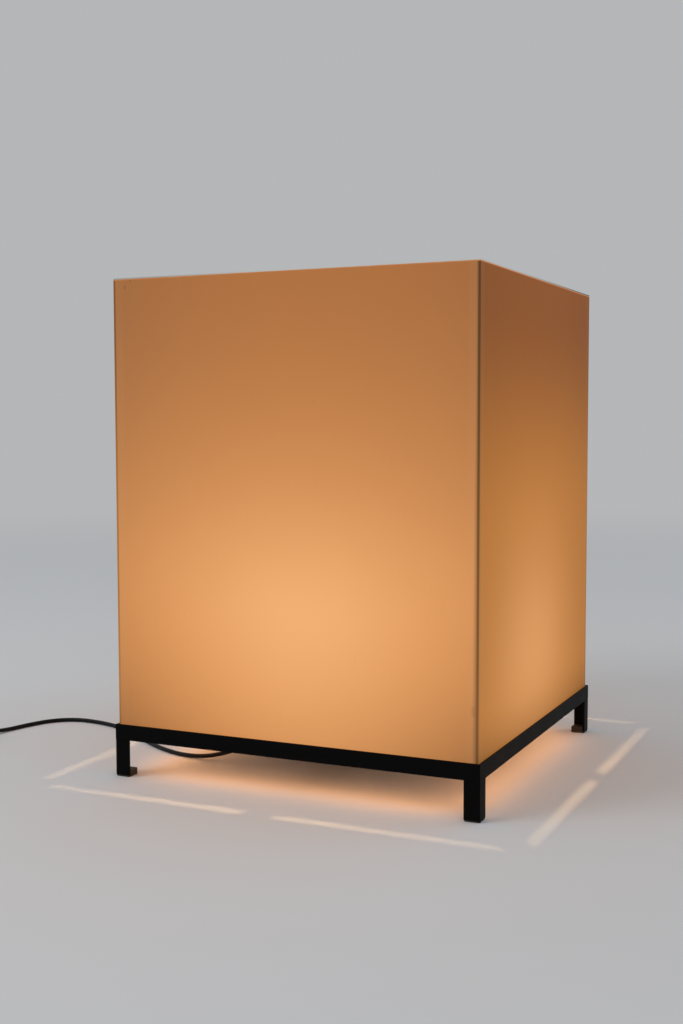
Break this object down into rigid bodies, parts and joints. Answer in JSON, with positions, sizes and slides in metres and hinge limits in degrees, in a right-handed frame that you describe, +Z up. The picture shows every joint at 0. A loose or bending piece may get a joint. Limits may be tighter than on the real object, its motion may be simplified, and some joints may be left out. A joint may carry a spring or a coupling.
{
  "type": "box table and floor lamp",
  "caption": "Tall opal box lamp in a tray of black steel angle on short legs, with a screw-in lamp inside and a mains lead.",
  "frame": {"origin": "floor level, at the centre of the square frame", "axes": "+Z up, -Y the front face of the picture, +X to the right of it"},
  "size_m": [1.0177, 0.5709, 0.696],
  "materials": {
    "black_steel": "satin black paint on mild steel",
    "foot_plastic": "moulded, fine matt",
    "white_plate": "matt white paint",
    "zinc": "bright zinc plating",
    "holder_plastic": "black moulded, satin",
    "white_insulator": "unglazed white",
    "brass": "pressed, bright",
    "brass_plated": "nickel plated",
    "cord_black": "smooth black sheath",
    "core_brown": "smooth insulation",
    "core_blue": "smooth insulation",
    "switch_plastic": "black moulded",
    "bulb_white": "white moulded",
    "bulb_glow": "opal, lit warm from inside",
    "board_aluminium": "white solder mask on sheet",
    "led_phosphor": "phosphor under silicone",
    "circuit_green": "glass fibre laminate",
    "opal_acrylic": "satin opal sheet, glowing warm from the bulb inside"
  },
  "bodies": {
    "base": {"rail_front": "black_steel", "rail_right": "black_steel", "rail_back": "black_steel", "rail_left": "black_steel", "leg_front_left": "black_steel", "leg_front_right": "black_steel", "leg_back_right": "black_steel", "leg_back_left": "black_steel", "foot_front_left": "foot_plastic", "foot_front_right": "foot_plastic", "foot_back_right": "foot_plastic", "foot_back_left": "foot_plastic", "cross_bar_long": "black_steel", "cross_bar_front": "black_steel", "cross_bar_back": "black_steel", "bottom_plate": "white_plate", "m4_screws": "zinc", "m4_nuts": "zinc", "holder_bracket": "zinc", "threaded_nipple": "zinc", "nipple_nut": "zinc", "holder_cap": "holder_plastic", "holder_insert": "white_insulator", "holder_shell": "holder_plastic", "holder_contacts": "brass", "cord_grip": "holder_plastic", "cord_grip_nut": "holder_plastic", "inner_cord": "cord_black", "core_brown": "core_brown", "core_blue": "core_blue", "cable_clip": "zinc", "cord_run": "cord_black", "switch_base": "switch_plastic", "switch_cover": "switch_plastic", "switch_screws": "zinc", "switch_contacts": "brass", "cord_link": "cord_black", "cord_coil": "cord_black", "cord_tail": "cord_black", "plug_body": "switch_plastic", "plug_pins": "brass_plated"},
    "shade": {"panel_front": "opal_acrylic", "panel_back": "opal_acrylic", "panel_left": "opal_acrylic", "panel_right": "opal_acrylic", "top_panel": "opal_acrylic", "corner_strips": "opal_acrylic"},
    "bulb": {"bulb_tip": "brass", "bulb_insulator": "holder_plastic", "bulb_screw_cap": "brass_plated", "bulb_housing": "bulb_white", "bulb_globe": "bulb_glow", "led_board": "board_aluminium", "led_chips": "led_phosphor", "driver_board": "circuit_green", "driver_parts": "holder_plastic"},
    "rocker": {"switch_rocker": "switch_plastic"}
  },
  "joints": [
    {"name": "shade_lift", "type": "slide", "parent": "base", "child": "shade", "axis": [0, 0, 1], "range_m": [0, 0.2]},
    {"name": "bulb_turn", "type": "hinge", "parent": "base", "child": "bulb", "pos_m": [0, 0, 0.15], "axis": [0, 0, 1], "range_deg": [0, 1080]},
    {"name": "switch_rock", "type": "hinge", "parent": "base", "child": "rocker", "pos_m": [-0.589, -0.214, 0.0165], "axis": [-1, 0, 0], "range_deg": [0, 16]}
  ]
}
